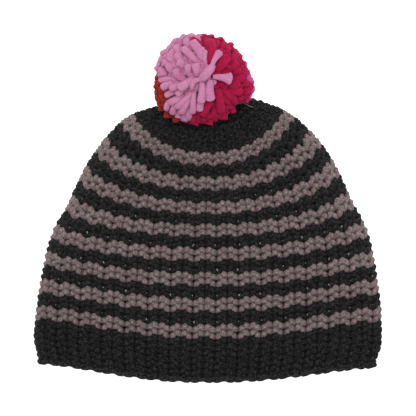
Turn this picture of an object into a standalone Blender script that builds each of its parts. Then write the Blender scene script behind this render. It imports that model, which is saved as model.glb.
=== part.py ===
"""Knitted beanie with a yarn pompom, lying flat on its back.

+X runs across the cap, +Y from the open rim to the pompom, and +Z is up from the surface that
it lies on. The origin is on the flat underside, halfway along the cap. Lengths are in metres.
"""

import math
import random
from collections import namedtuple

import bmesh
import bpy
import numpy as np
from mathutils import Matrix, Vector

# Driving dimensions of the cap
FLAT_WIDTH = 0.250  # fold to fold across the widest round
CAP_LENGTH = 0.2025  # rim to crown tip along the middle
PUFF_HEIGHT = 0.048  # the most that the upper layer stands above the surface
WALL = 0.0055  # knitted fabric of bulky yarn
GATHER_DEPTH = 0.0016  # how deep the pleats round the drawn-in crown tip are
GATHERS = 16

# The knitting, in rows counted from the rim
BAND_ROWS = 7
STRIPE_ROWS = 2
STRIPE_PITCH = 4
STRIPES = 8
TIP_ROW = 46

# Driving dimensions of the pompom
POMPOM_DIAMETER = 0.071
POMPOM_OVERHANG = 0.0128  # its middle lies this far beyond the crown tip
POMPOM_SIDEWAYS = -0.0032  # and this far to the side of the centre line
POMPOM_LIFT = 0.485  # and this share of its diameter above the surface
LOCK_WIDTH = 0.0140
LOCK_LENGTH = 0.028
LOCKS = 84
LOCK_NUDGE = 0.09  # how far a lock's direction strays from an even spread
LOCK_REACH = (0.95, 1.02)  # how far out the locks end, as shares of the pompom's radius
HEAD_SHARE = 0.84  # the solid head under the locks, as a share of the pompom

CLEARANCE = 0.0003  # between the pompom and what it bears on

# One row of the table for each round that gives the cap its form. The columns are: row, counted
# from the rim; middle, left_side and right_side, how far up the cap the round lies at the centre
# line and at its folds, as shares of CAP_LENGTH; steep, the exponent that says how late the round
# dips between a fold and the middle; left and right, the reach of each fold, as shares of half of
# FLAT_WIDTH; top, fold and under, the heights of the upper layer, of the folds and of the
# underside, as shares of PUFF_HEIGHT; full, how squarely the upper layer is arched, where 2 is
# an ellipse; gather, the share of GATHER_DEPTH.
Round = namedtuple(
    "Round", "row middle left_side right_side steep left right top fold under full gather"
)
ROUNDS = (
    Round(0, 0.000, 0.064, 0.050, 1.80, 0.966, 0.954, 0.50, 0.19, 0.00, 3.0, 0.0),
    Round(4, 0.088, 0.154, 0.146, 1.75, 0.998, 0.996, 0.58, 0.19, 0.00, 2.9, 0.0),
    Round(8, 0.177, 0.246, 0.239, 1.60, 0.985, 0.994, 0.69, 0.20, 0.00, 2.7, 0.0),
    Round(12, 0.271, 0.338, 0.338, 1.35, 0.963, 0.974, 0.79, 0.20, 0.00, 2.6, 0.0),
    Round(16, 0.362, 0.436, 0.440, 0.97, 0.931, 0.948, 0.88, 0.21, 0.00, 2.5, 0.0),
    Round(20, 0.450, 0.530, 0.545, 0.82, 0.886, 0.902, 0.95, 0.22, 0.00, 2.4, 0.0),
    Round(24, 0.535, 0.630, 0.646, 0.76, 0.796, 0.815, 0.99, 0.24, 0.00, 2.3, 0.0),
    Round(28, 0.614, 0.735, 0.760, 0.77, 0.718, 0.731, 1.00, 0.26, 0.00, 2.2, 0.0),
    Round(32, 0.699, 0.835, 0.863, 0.75, 0.616, 0.618, 0.96, 0.28, 0.00, 2.2, 0.0),
    Round(36, 0.788, 0.925, 0.941, 0.78, 0.459, 0.478, 0.87, 0.31, 0.00, 2.2, 0.1),
    Round(40, 0.867, 0.974, 0.976, 0.80, 0.335, 0.375, 0.73, 0.33, 0.00, 2.1, 0.7),
    Round(43, 0.934, 0.991, 0.991, 0.80, 0.195, 0.220, 0.57, 0.33, 0.05, 2.0, 1.0),
    Round(45, 0.983, 0.999, 0.999, 0.80, 0.070, 0.078, 0.42, 0.32, 0.20, 2.0, 0.6),
    Round(46, 1.000, 1.000, 1.000, 0.80, 0.000, 0.000, 0.31, 0.31, 0.31, 2.0, 0.0),
)
DIP_SPREAD = 2.2  # exponent for how wide the bottom of the dip is
UNDER_FULL = 6.0  # how squarely the underside turns up into the folds
UNDER_FLAT = 1.02  # over 1, so that the middle of the underside is exactly flat

SIDES = 4 * GATHERS  # points round each knitted round, four to a pleat
SAMPLES = 720  # fine points that they are picked from
BAND_ROUNDS = (0.0, 0.36, 0.7)  # the band's rounds, as shares of its rows
CROWN_ROUNDS = (0.22, 0.44, 0.64, 0.80, 0.92)  # the same from the last stripe to the tip
BEND_PULL = 0.012  # metres of extra length for each radian, which draws points to the folds

# Colours and roughness of the yarns
CHARCOAL = (0.011, 0.011, 0.011)
MAUVE = (0.178, 0.136, 0.138)
ROSE = (0.30, 0.06, 0.14)
WOOL_ROUGHNESS = 0.92


def material(name, colour, roughness):
    """A matt Principled material of one colour."""
    made = bpy.data.materials.new(name)
    made.use_nodes = True
    shader = made.node_tree.nodes["Principled BSDF"]
    shader.inputs["Base Color"].default_value = (*colour, 1.0)
    shader.inputs["Roughness"].default_value = roughness
    shader.inputs["Metallic"].default_value = 0.0
    return made


def add_object(name, mesh, collection):
    """A new object for a mesh, in one collection."""
    made = bpy.data.objects.new(name, mesh)
    collection.objects.link(made)
    return made


def hide_cutter(cutter):
    """Keeps a helper out of renders and draws it as wires."""
    cutter.hide_render = True
    cutter.display_type = "WIRE"


def boolean(target, tool, operation, overlapping=False):
    """Cuts or joins target with tool. overlapping is for a tool whose own bodies overlap."""
    made = target.modifiers.new(operation.title(), "BOOLEAN")
    made.operation = operation
    made.solver = "EXACT"
    made.object = tool
    made.use_self = overlapping


def smooth_column(column, rows):
    """A column of ROUNDS at any rows, on a curve through the table's values.

    Between two rounds it is a cubic. Its slope at a round is the harmonic mean of the slopes
    on either side, or zero at a peak, so that the curve never swings past the values.
    """
    at = np.array([entry.row for entry in ROUNDS], float)
    values = np.array([getattr(entry, column) for entry in ROUNDS])
    steps = np.diff(values) / np.diff(at)
    before, after = steps[:-1], steps[1:]
    same_way = before * after > 0
    mean = 2 * before * after / np.where(same_way, before + after, 1.0)
    slopes = np.concatenate([steps[:1], np.where(same_way, mean, 0.0), steps[-1:]])
    index = np.clip(np.searchsorted(at, rows, side="right") - 1, 0, len(at) - 2)
    span = at[index + 1] - at[index]
    t = (rows - at[index]) / span
    return (
        values[index] * (1 + 2 * t) * (1 - t) ** 2
        + slopes[index] * span * t * (1 - t) ** 2
        + values[index + 1] * t**2 * (3 - 2 * t)
        + slopes[index + 1] * span * t**2 * (t - 1)
    )


def section(row):
    """The outer outline of one round, as SIDES points, from the right fold over the top.

    The upper layer and the underside are halves of superellipses that meet at the folds.
    The round lies furthest up the cap at its folds and dips towards the rim in the middle.
    """
    sizes = {name: smooth_column(name, row) for name in Round._fields[1:]}
    angle = np.linspace(0.0, 2 * math.pi, SAMPLES, endpoint=False)
    upper = angle < math.pi
    power = np.where(upper, 2 / sizes["full"], 2 / UNDER_FULL)
    across = np.sign(np.cos(angle)) * np.abs(np.cos(angle)) ** power
    reach = np.where(across > 0, sizes["right"], sizes["left"]) * FLAT_WIDTH / 2
    rise = np.abs(np.sin(angle)) ** power
    rise = np.where(upper, rise, -np.minimum(1.0, UNDER_FLAT * rise))
    half_height = np.where(upper, sizes["top"] - sizes["fold"], sizes["fold"] - sizes["under"])
    x = across * reach
    z = (sizes["fold"] + rise * half_height) * PUFF_HEIGHT
    side = np.where(across > 0, sizes["right_side"], sizes["left_side"])
    dip = (1 - np.abs(across) ** DIP_SPREAD) ** sizes["steep"]
    y = (side + (sizes["middle"] - side) * dip - 0.5) * CAP_LENGTH

    chord_x = np.roll(x, -1) - x
    chord_z = np.roll(z, -1) - z
    heading = np.unwrap(np.arctan2(chord_z, chord_x))
    turn = np.abs(np.diff(heading, prepend=heading[-1] - 2 * math.pi))
    stretch = np.hypot(chord_x, chord_z) + BEND_PULL * turn
    travelled = np.concatenate([[0.0], np.cumsum(stretch)])
    wanted = np.linspace(0.0, travelled[-1], SIDES, endpoint=False)
    points = np.stack([x, y, z], axis=1)
    points = np.concatenate([points, points[:1]])
    points = np.stack([np.interp(wanted, travelled, points[:, k]) for k in range(3)], axis=1)

    outward = np.roll(points, -1, axis=0) - np.roll(points, 1, axis=0)
    outward = np.stack([outward[:, 2], np.zeros(SIDES), -outward[:, 0]], axis=1)
    outward /= np.linalg.norm(outward, axis=1, keepdims=True) + 1e-12
    pleat = 0.5 - 0.5 * np.cos(GATHERS * 2 * math.pi * np.arange(SIDES) / SIDES)
    return points - outward * (pleat * sizes["gather"] * GATHER_DEPTH)[:, None]


def is_stripe(row):
    """Whether the knitting at this row is in the stripe yarn."""
    since_band = row - BAND_ROWS
    return 0 <= since_band < STRIPE_PITCH * STRIPES and since_band % STRIPE_PITCH < STRIPE_ROWS


def cap_rows():
    """The rows where the loft has a round: every colour change, and a few for the form."""
    changes = []
    for stripe in range(STRIPES):
        start = BAND_ROWS + STRIPE_PITCH * stripe
        changes += [start, start + STRIPE_ROWS]
    last = changes[-1]
    crown = [last + (TIP_ROW - last) * share for share in CROWN_ROUNDS]
    band = [BAND_ROWS * share for share in BAND_ROUNDS]
    return band + changes + crown


def cap_surface():
    """The cap's outer surface as an open mesh: lofted rounds, closed at the crown tip."""
    build = bmesh.new()
    rows = cap_rows()
    rings = [[build.verts.new(point) for point in section(row)] for row in rows]
    tip = build.verts.new(section(TIP_ROW)[0])
    for row, lower, upper in zip(rows, rings, rings[1:]):
        for i in range(SIDES):
            j = (i + 1) % SIDES
            face = build.faces.new((lower[j], lower[i], upper[i], upper[j]))
            face.material_index = int(is_stripe(row))
    for i in range(SIDES):
        build.faces.new((rings[-1][(i + 1) % SIDES], rings[-1][i], tip))
    bmesh.ops.recalc_face_normals(build, faces=build.faces)
    return build


def make_cap(collection):
    """The knitted cap: its outer surface with a wall grown inwards, open at the rim."""
    build = cap_surface()
    mesh = bpy.data.meshes.new("cap")
    build.to_mesh(mesh)
    build.free()
    mesh.shade_smooth()
    cap = add_object("cap", mesh, collection)
    mesh.materials.append(material("charcoal_wool", CHARCOAL, WOOL_ROUGHNESS))
    mesh.materials.append(material("mauve_wool", MAUVE, WOOL_ROUGHNESS))
    wall = cap.modifiers.new("Wall", "SOLIDIFY")
    wall.thickness = WALL
    wall.offset = -1.0
    wall.use_even_offset = True
    return cap


def make_crown_cutter(cutters):
    """The room that the cap takes from the pompom: the cap's outside, filled and grown."""
    build = cap_surface()
    rim = [edge for edge in build.edges if edge.is_boundary]
    bmesh.ops.contextual_create(build, geom=rim)
    bmesh.ops.recalc_face_normals(build, faces=build.faces)
    build.normal_update()
    for vert in build.verts:
        vert.co += vert.normal * CLEARANCE
    mesh = bpy.data.meshes.new("crown_clearance")
    build.to_mesh(mesh)
    build.free()
    cutter = add_object("crown_clearance", mesh, cutters)
    hide_cutter(cutter)
    return cutter


def make_floor_cutter(centre, cutters):
    """A block below the surface that the beanie lies on, which flattens the pompom."""
    side = 2 * POMPOM_DIAMETER
    build = bmesh.new()
    bmesh.ops.create_cube(build, size=side)
    bmesh.ops.translate(build, verts=build.verts, vec=(centre.x, centre.y, -side / 2))
    mesh = bpy.data.meshes.new("floor_clearance")
    build.to_mesh(mesh)
    build.free()
    cutter = add_object("floor_clearance", mesh, cutters)
    hide_cutter(cutter)
    return cutter


def lock_directions():
    """Unit vectors spread evenly over a sphere along a spiral, each a little disturbed."""
    chance = random.Random(7)
    golden = math.pi * (3 - math.sqrt(5))
    for i in range(LOCKS):
        level = 1 - 2 * (i + 0.5) / LOCKS
        ring = math.sqrt(1 - level * level)
        along = Vector((ring * math.cos(golden * i), ring * math.sin(golden * i), level))
        nudge = Vector([chance.uniform(-1, 1) for _ in range(3)])
        yield (along + LOCK_NUDGE * nudge).normalized(), chance.uniform(*LOCK_REACH)


def add_lock(build, place):
    """A lock along the local Z of place: an ellipsoid swollen towards its ends, so that it is blunt."""
    verts = bmesh.ops.create_uvsphere(build, u_segments=7, v_segments=6, radius=1.0)["verts"]
    for vert in verts:
        swell = math.sqrt(1 + vert.co.z**2)
        vert.co.x *= swell * LOCK_WIDTH / 2
        vert.co.y *= swell * LOCK_WIDTH / 2
        vert.co.z *= LOCK_LENGTH / 2
    bmesh.ops.transform(build, matrix=place, verts=verts)


def make_pompom(centre, collection, cutters):
    """Blunt locks of yarn fused to a head, flattened where they bear on the cap and below."""
    radius = POMPOM_DIAMETER / 2
    build = bmesh.new()
    for direction, reach in lock_directions():
        middle = centre + direction * (radius * reach - LOCK_LENGTH / 2)
        turned = direction.to_track_quat("Z", "Y").to_matrix().to_4x4()
        add_lock(build, Matrix.Translation(middle) @ turned)
    mesh = bpy.data.meshes.new("locks")
    build.to_mesh(mesh)
    build.free()
    locks = add_object("locks", mesh, cutters)
    hide_cutter(locks)

    head = bmesh.new()
    bmesh.ops.create_icosphere(
        head, subdivisions=2, radius=radius * HEAD_SHARE, matrix=Matrix.Translation(centre)
    )
    mesh = bpy.data.meshes.new("pompom")
    head.to_mesh(mesh)
    head.free()
    mesh.shade_smooth()
    pompom = add_object("pompom", mesh, collection)
    mesh.materials.append(material("rose_wool", ROSE, WOOL_ROUGHNESS))
    boolean(pompom, locks, "UNION", overlapping=True)
    boolean(pompom, make_crown_cutter(cutters), "DIFFERENCE")
    boolean(pompom, make_floor_cutter(centre, cutters), "DIFFERENCE")
    return pompom


for old in list(bpy.data.objects):
    bpy.data.objects.remove(old)

beanie = bpy.data.collections.new("beanie")
helpers = bpy.data.collections.new("cutters")
bpy.context.scene.collection.children.link(beanie)
bpy.context.scene.collection.children.link(helpers)
make_cap(beanie)
pompom_centre = Vector(
    (POMPOM_SIDEWAYS, CAP_LENGTH / 2 + POMPOM_OVERHANG, POMPOM_LIFT * POMPOM_DIAMETER)
)
make_pompom(pompom_centre, beanie, helpers)
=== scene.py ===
"""Looks of a hand-knitted pompom beanie that lies flat on its back, seen from straight above."""

import math

import bpy
import numpy as np
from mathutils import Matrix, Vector


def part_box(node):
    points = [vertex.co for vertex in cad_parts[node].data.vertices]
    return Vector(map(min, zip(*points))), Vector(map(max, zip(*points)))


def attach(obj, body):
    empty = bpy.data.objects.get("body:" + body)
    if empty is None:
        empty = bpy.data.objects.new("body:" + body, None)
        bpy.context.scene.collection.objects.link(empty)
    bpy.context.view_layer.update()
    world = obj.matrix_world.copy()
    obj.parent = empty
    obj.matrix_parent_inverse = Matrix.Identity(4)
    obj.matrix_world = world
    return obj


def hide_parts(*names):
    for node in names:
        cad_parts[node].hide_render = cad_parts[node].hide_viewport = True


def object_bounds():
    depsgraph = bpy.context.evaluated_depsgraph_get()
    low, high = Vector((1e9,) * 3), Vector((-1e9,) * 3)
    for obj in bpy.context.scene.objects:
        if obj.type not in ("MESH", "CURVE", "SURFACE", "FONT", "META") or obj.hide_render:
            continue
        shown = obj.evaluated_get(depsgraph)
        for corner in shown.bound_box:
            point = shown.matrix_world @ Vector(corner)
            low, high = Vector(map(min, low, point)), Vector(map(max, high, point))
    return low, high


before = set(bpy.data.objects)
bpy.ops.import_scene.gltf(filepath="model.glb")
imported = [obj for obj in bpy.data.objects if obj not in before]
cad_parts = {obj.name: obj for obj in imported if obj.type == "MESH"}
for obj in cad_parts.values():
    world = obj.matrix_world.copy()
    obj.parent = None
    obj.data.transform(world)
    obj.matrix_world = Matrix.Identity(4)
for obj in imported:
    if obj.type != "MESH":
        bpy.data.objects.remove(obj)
cad_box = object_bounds()
MM = 0.001

# The table, the light and the camera.
# A plain white table takes the beanie, with one wide soft light over it and even light from
# all round. The camera hangs straight above, far enough off for a nearly parallel view.
TABLE_WHITE = (0.90, 0.90, 0.90)
TABLE_GLOW = 0.80
TABLE_SIDE = 8.0
VIEW_WIDTH = 296.3 * MM  # what the square picture takes in across
VIEW_LEVEL = 1 / 3  # the height where that is measured, as a share of the beanie's
VIEW_MIDDLE = (0.0, 22.7 * MM)  # the point below the lens
CAMERA_HEIGHT = 5.0
CAMERA_SENSOR = 36.0
SOFTBOX_SIDE = 1.1
SOFTBOX_PLACE = (0.05, 0.32, 1.5)
SOFTBOX_WATTS = 17.2
ROOM_LIGHT = 0.54  # what lights the beanie from all round
ROOM_WHITE = 1.0  # and what the lens sees past it


def plain_material(name, colour, roughness=0.9):
    """A Principled material of one colour, and its shader node."""
    made = bpy.data.materials.new(name)
    made.use_nodes = True
    shader = made.node_tree.nodes["Principled BSDF"]
    shader.inputs["Base Color"].default_value = (*colour, 1.0)
    shader.inputs["Roughness"].default_value = roughness
    return made, shader


def mesh_piece(name, points, faces, finish):
    """A smooth-shaded mesh object at the origin from an array of points and one of faces."""
    mesh = bpy.data.meshes.new(name)
    mesh.vertices.add(len(points))
    mesh.vertices.foreach_set("co", np.asarray(points, np.float32).ravel())
    corners = faces.shape[1]
    mesh.loops.add(faces.size)
    mesh.loops.foreach_set("vertex_index", faces.astype(np.int32).ravel())
    mesh.polygons.add(len(faces))
    mesh.polygons.foreach_set("loop_start", np.arange(0, faces.size, corners, dtype=np.int32))
    mesh.update(calc_edges=True)
    mesh.validate()
    mesh.shade_smooth()
    mesh.materials.append(finish)
    made = bpy.data.objects.new(name, mesh)
    bpy.context.scene.collection.objects.link(made)
    return made


half = TABLE_SIDE / 2
table_points = np.array([(-half, -half, 0), (half, -half, 0), (half, half, 0), (-half, half, 0)])
table_finish, table_shader = plain_material("table_white", TABLE_WHITE)
table_shader.inputs["Emission Color"].default_value = (1, 1, 1, 1)
table_shader.inputs["Emission Strength"].default_value = TABLE_GLOW
table = mesh_piece("table", table_points, np.array([[0, 1, 2, 3]]), table_finish)

world = bpy.data.worlds.new("soft_room")
bpy.context.scene.world = world
world.use_nodes = True
room = world.node_tree
seen = room.nodes.new("ShaderNodeBackground")
seen.inputs["Strength"].default_value = ROOM_WHITE
seen.inputs["Color"].default_value = (1, 1, 1, 1)
room.nodes["Background"].inputs["Color"].default_value = (1, 1, 1, 1)
room.nodes["Background"].inputs["Strength"].default_value = ROOM_LIGHT
direct = room.nodes.new("ShaderNodeLightPath")
either = room.nodes.new("ShaderNodeMixShader")
room.links.new(direct.outputs["Is Camera Ray"], either.inputs["Fac"])
room.links.new(room.nodes["Background"].outputs["Background"], either.inputs[1])
room.links.new(seen.outputs["Background"], either.inputs[2])
room.links.new(either.outputs["Shader"], room.nodes["World Output"].inputs["Surface"])

softbox = bpy.data.lights.new("softbox", "AREA")
softbox.size = SOFTBOX_SIDE
softbox.energy = SOFTBOX_WATTS
softbox_holder = bpy.data.objects.new("softbox", softbox)
softbox_holder.location = SOFTBOX_PLACE
softbox_holder.rotation_euler = (-Vector(SOFTBOX_PLACE)).to_track_quat("-Z", "Y").to_euler()
bpy.context.scene.collection.objects.link(softbox_holder)

lens = bpy.data.cameras.new("overhead")
lens.sensor_width = CAMERA_SENSOR
lens.lens = CAMERA_SENSOR * (CAMERA_HEIGHT - VIEW_LEVEL * cad_box[1][2]) / VIEW_WIDTH
camera = bpy.data.objects.new("overhead", lens)
camera.location = (*VIEW_MIDDLE, CAMERA_HEIGHT)
bpy.context.scene.collection.objects.link(camera)
bpy.context.scene.camera = camera
bpy.context.scene.view_settings.view_transform = "Standard"

# The form that the cap has lying down.
# The cap is one tube of knitting, worked in rounds from the rim to the crown tip. Lying flat it
# has an upper layer, puffed up towards the crown, and a lower one, flat on the table.

# The columns of the table: row, counted from the rim; middle, left_side and right_side, how far
# up the cap the round lies at the centre line and at the folds, as shares of the length; steep,
# how late it dips between them; left and right, the reach of the folds, as shares of half the
# width; top, fold and under, the heights of the upper layer, of the folds and of the underside,
# as shares of the height; full, how square the arch is.
ROUND_COLUMNS = "row middle left_side right_side steep left right top fold under full".split()
ROUNDS = np.array(
    [
        (0, 0.000, 0.064, 0.050, 1.80, 0.966, 0.954, 0.50, 0.19, 0.00, 3.0),
        (4, 0.088, 0.154, 0.146, 1.75, 0.998, 0.996, 0.58, 0.19, 0.00, 2.9),
        (8, 0.177, 0.246, 0.239, 1.60, 0.985, 0.994, 0.69, 0.20, 0.00, 2.7),
        (12, 0.271, 0.338, 0.338, 1.35, 0.963, 0.974, 0.79, 0.20, 0.00, 2.6),
        (16, 0.362, 0.436, 0.440, 0.97, 0.931, 0.948, 0.88, 0.21, 0.00, 2.5),
        (20, 0.450, 0.530, 0.545, 0.82, 0.886, 0.902, 0.95, 0.22, 0.00, 2.4),
        (24, 0.535, 0.630, 0.646, 0.76, 0.796, 0.815, 0.99, 0.24, 0.00, 2.3),
        (28, 0.614, 0.735, 0.760, 0.77, 0.718, 0.731, 1.00, 0.26, 0.00, 2.2),
        (32, 0.699, 0.835, 0.863, 0.75, 0.616, 0.618, 0.96, 0.28, 0.00, 2.2),
        (36, 0.788, 0.933, 0.949, 0.78, 0.459, 0.457, 0.87, 0.31, 0.00, 2.2),
        (40, 0.867, 0.966, 0.976, 0.88, 0.325, 0.362, 0.73, 0.33, 0.00, 2.1),
        (43, 0.934, 0.986, 0.998, 0.80, 0.195, 0.228, 0.57, 0.33, 0.05, 2.0),
        (45, 0.983, 0.999, 0.999, 0.80, 0.070, 0.078, 0.42, 0.32, 0.20, 2.0),
        (46, 1.000, 1.000, 1.000, 0.80, 0.000, 0.000, 0.31, 0.31, 0.31, 2.0),
    ]
)
CAP_LOW, CAP_HIGH = (np.array(corner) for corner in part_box("cap"))
CAP_LENGTH = CAP_HIGH[1] - CAP_LOW[1]
LEFT, RIGHT = ROUND_COLUMNS.index("left"), ROUND_COLUMNS.index("right")
WIDEST = (ROUNDS[:, LEFT].max() + ROUNDS[:, RIGHT].max()) / 2
CAP_WIDTH = (CAP_HIGH[0] - CAP_LOW[0]) / WIDEST
CAP_HEIGHT = CAP_HIGH[2] - CAP_LOW[2]
DIP_SPREAD = 2.2  # higher is a dip that keeps its depth further out
UNDER_FULL = 6.0  # how square the underside is
UNDER_FLAT = 1.02  # above 1, it lies on the table almost as far as the folds
LAYER_STITCHES = 31  # stitches in half a round, from fold to fold
FLAT_RISE = 0.35  # how much a rise counts when the band's stitches are spaced out
FLAT_UP_TO = 8  # up to this row
ROUND_FROM = 28  # a rise counts in full from this row on
STITCHES = 2 * LAYER_STITCHES
GRID_PER_ROW = 4  # points of the grid that the stitches are laid on
GRID_PER_STITCH = 8
FIRST_GRID_ROW = -2.0
LAST_GRID_ROW = 45.75
GRID_EDGE = 0.001  # a grid is read up to this far short of its last row


def column_at(name, rows):
    """A column of ROUNDS at any rows: a cubic between rounds, whose slope at each round is the
    harmonic mean of the slopes on either side, or zero at a peak."""
    at = ROUNDS[:, 0]
    values = ROUNDS[:, ROUND_COLUMNS.index(name)]
    steps = np.diff(values) / np.diff(at)
    before, after = steps[:-1], steps[1:]
    same_way = before * after > 0
    mean = 2 * before * after / np.where(same_way, before + after, 1.0)
    slopes = np.concatenate([steps[:1], np.where(same_way, mean, 0.0), steps[-1:]])
    index = np.clip(np.searchsorted(at, rows, side="right") - 1, 0, len(at) - 2)
    span = at[index + 1] - at[index]
    t = (rows - at[index]) / span
    inside = (
        values[index] * (1 + 2 * t) * (1 - t) ** 2
        + slopes[index] * span * t * (1 - t) ** 2
        + values[index + 1] * t**2 * (3 - 2 * t)
        + slopes[index + 1] * span * t**2 * (t - 1)
    )
    return np.where(t < 0, values[0] + slopes[0] * (rows - at[0]), inside)


def half_round(rows, upper, samples=400):
    """Points of one layer of each round, fold to fold, spaced evenly along the fabric.

    Across the cap the layer is half a superellipse, |x/a|^p + |z/c|^p = 1, and it dips towards
    the rim by (1 - |x/a|^DIP_SPREAD)^steep of the round's dip. In the flat lower rounds a rise
    counts for less than its length, so that the stitches keep an even width seen from above.
    """
    angle = np.linspace(0.0, math.pi, samples)[None, :]
    size = {name: column_at(name, rows)[:, None] for name in ROUND_COLUMNS[1:]}
    power = 2 / size["full"] if upper else 2 / UNDER_FULL
    turn = np.cos(angle) if upper else -np.cos(angle)
    across = np.sign(turn) * np.abs(turn) ** power
    rise = np.abs(np.sin(angle)) ** power
    if upper:
        height = size["fold"] + rise * (size["top"] - size["fold"])
    else:
        rise = np.minimum(1.0, UNDER_FLAT * rise)
        height = size["fold"] - rise * (size["fold"] - size["under"])
    reach = np.where(across > 0, size["right"], size["left"]) * CAP_WIDTH / 2
    side = np.where(across > 0, size["right_side"], size["left_side"])
    dip = (1 - np.abs(across) ** DIP_SPREAD).clip(0) ** size["steep"]
    along = side + (size["middle"] - side) * dip
    points = np.stack([across * reach, along * CAP_LENGTH, height * CAP_HEIGHT], axis=-1)
    points += (0.0, CAP_LOW[1], CAP_LOW[2])
    step = np.diff(points, axis=1)
    roundness = np.clip((rows - FLAT_UP_TO) / (ROUND_FROM - FLAT_UP_TO), 0, 1)[:, None]
    step[..., 2] *= FLAT_RISE + (1 - FLAT_RISE) * roundness
    travelled = np.pad(np.cumsum(np.linalg.norm(step, axis=2), axis=1), ((0, 0), (1, 0)))
    wanted = np.arange(LAYER_STITCHES * GRID_PER_STITCH) / (LAYER_STITCHES * GRID_PER_STITCH)
    even = np.empty((len(rows), len(wanted), 3))
    for i, (path, ring) in enumerate(zip(travelled, points)):
        for k in range(3):
            even[i, :, k] = np.interp(wanted * path[-1], path, ring[:, k])
    return even


grid_rows = np.arange(FIRST_GRID_ROW, LAST_GRID_ROW + 0.5 / GRID_PER_ROW, 1 / GRID_PER_ROW)
grid = np.concatenate([half_round(grid_rows, True), half_round(grid_rows, False)], axis=1)
along_round = np.roll(grid, -1, axis=1) - np.roll(grid, 1, axis=1)
up_cap = np.gradient(grid, axis=0)
grid_normal = np.cross(up_cap, along_round)
grid_normal /= np.linalg.norm(grid_normal, axis=2, keepdims=True)
stitch_width = np.linalg.norm(along_round, axis=2) / 2 * GRID_PER_STITCH


def on_cap(field, rows, stitches):
    """A grid's values at any rows and stitches: a blend of the four grid points around."""
    r = np.clip((rows - FIRST_GRID_ROW) * GRID_PER_ROW, 0, len(field) - 1 - GRID_EDGE)
    s = (stitches * GRID_PER_STITCH) % field.shape[1]
    r0, s0 = r.astype(int), s.astype(int)
    s1 = (s0 + 1) % field.shape[1]
    fr, fs = r - r0, s - s0
    if field.ndim == 3:
        fr, fs = fr[..., None], fs[..., None]
    lower = field[r0, s0 % field.shape[1]] * (1 - fs) + field[r0, s1] * fs
    upper = field[r0 + 1, s0 % field.shape[1]] * (1 - fs) + field[r0 + 1, s1] * fs
    return lower * (1 - fr) + upper * fr


# The yarns.
# Bulky wool, loosely plied: charcoal that is heathered with paler hairs, and a greyed mauve.
# Spun into a soft round strand, a little fuzzy, with its plies winding along it.
# Each yarn's first colour is painted shade, which its strands take on deep between each other.
CHARCOAL_PAINTED_SHADE = (0.0024, 0.0022, 0.0023)
CHARCOAL_DARK = (0.0026, 0.0025, 0.0026)
CHARCOAL_PALE = (0.042, 0.0402, 0.0405)
MAUVE_PAINTED_SHADE = (0.026, 0.016, 0.016)
MAUVE_DARK = (0.116, 0.085, 0.087)
MAUVE_PALE = (0.382, 0.298, 0.305)
YARN_RADIUS = 2.15 * MM
HAIRS_FROM, HAIRS_TO = 0.40, 0.68  # the part of the noise that goes from dark to pale hairs
WOOL_ROUGHNESS = 0.95
WOOL_SHINE = 0.12
SHEEN_ROUGHNESS = 0.45
RELIEF_STRENGTH = 0.8
RELIEF_OF_HAIRS = 0.6  # its share that is hairs, where the rest is plies


def heather_and_shade_group():
    """Group "wool_heather_and_shade": mixes two yarn colours by fine hairs and by broad patches,
    and darkens them towards a third, a painted shade, in the creases between strands.

    Inputs: Vector, Dark, Pale, the colour of the painted shade, Depth (how much of the painted
    shade, 0 on top of a strand to 1 deep between strands), Hairs (how strongly single hairs show),
    Hair Scale and Patch Scale (higher is finer).
    Outputs: Color, Height (for a relief).
    """
    group = bpy.data.node_groups.new("wool_heather_and_shade", "ShaderNodeTree")
    sockets = [
        ("Vector", "INPUT", "NodeSocketVector"),
        ("Dark", "INPUT", "NodeSocketColor"),
        ("Pale", "INPUT", "NodeSocketColor"),
        ("Painted Shade", "INPUT", "NodeSocketColor"),
        ("Depth", "INPUT", "NodeSocketFloat"),
        ("Hairs", "INPUT", "NodeSocketFloat"),
        ("Hair Scale", "INPUT", "NodeSocketFloat"),
        ("Patch Scale", "INPUT", "NodeSocketFloat"),
        ("Color", "OUTPUT", "NodeSocketColor"),
        ("Height", "OUTPUT", "NodeSocketFloat"),
    ]
    for name, way, kind in sockets:
        group.interface.new_socket(name, in_out=way, socket_type=kind)
    nodes, links = group.nodes, group.links
    inside = nodes.new("NodeGroupInput")
    outside = nodes.new("NodeGroupOutput")
    hairs = nodes.new("ShaderNodeTexNoise")
    hairs.inputs["Detail"].default_value = 2.0
    hairs.inputs["Roughness"].default_value = 0.6
    patches = nodes.new("ShaderNodeTexNoise")
    patches.inputs["Detail"].default_value = 2.0
    links.new(inside.outputs["Vector"], hairs.inputs["Vector"])
    links.new(inside.outputs["Vector"], patches.inputs["Vector"])
    links.new(inside.outputs["Hair Scale"], hairs.inputs["Scale"])
    links.new(inside.outputs["Patch Scale"], patches.inputs["Scale"])
    stretch = nodes.new("ShaderNodeMapRange")
    stretch.inputs["From Min"].default_value = HAIRS_FROM
    stretch.inputs["From Max"].default_value = HAIRS_TO
    links.new(hairs.outputs["Fac"], stretch.inputs["Value"])
    both = nodes.new("ShaderNodeMix")
    links.new(inside.outputs["Hairs"], both.inputs["Factor"])
    links.new(patches.outputs["Fac"], both.inputs["A"])
    links.new(stretch.outputs["Result"], both.inputs["B"])
    colour = nodes.new("ShaderNodeMix")
    colour.data_type = "RGBA"
    links.new(both.outputs["Result"], colour.inputs["Factor"])
    links.new(inside.outputs["Dark"], colour.inputs["A"])
    links.new(inside.outputs["Pale"], colour.inputs["B"])
    shade_mix = nodes.new("ShaderNodeMix")
    shade_mix.data_type = "RGBA"
    links.new(inside.outputs["Depth"], shade_mix.inputs["Factor"])
    links.new(colour.outputs["Result"], shade_mix.inputs["A"])
    links.new(inside.outputs["Painted Shade"], shade_mix.inputs["B"])
    links.new(shade_mix.outputs["Result"], outside.inputs["Color"])
    links.new(both.outputs["Result"], outside.inputs["Height"])
    return group


WOOL_HEATHER_AND_SHADE = heather_and_shade_group()


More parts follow.
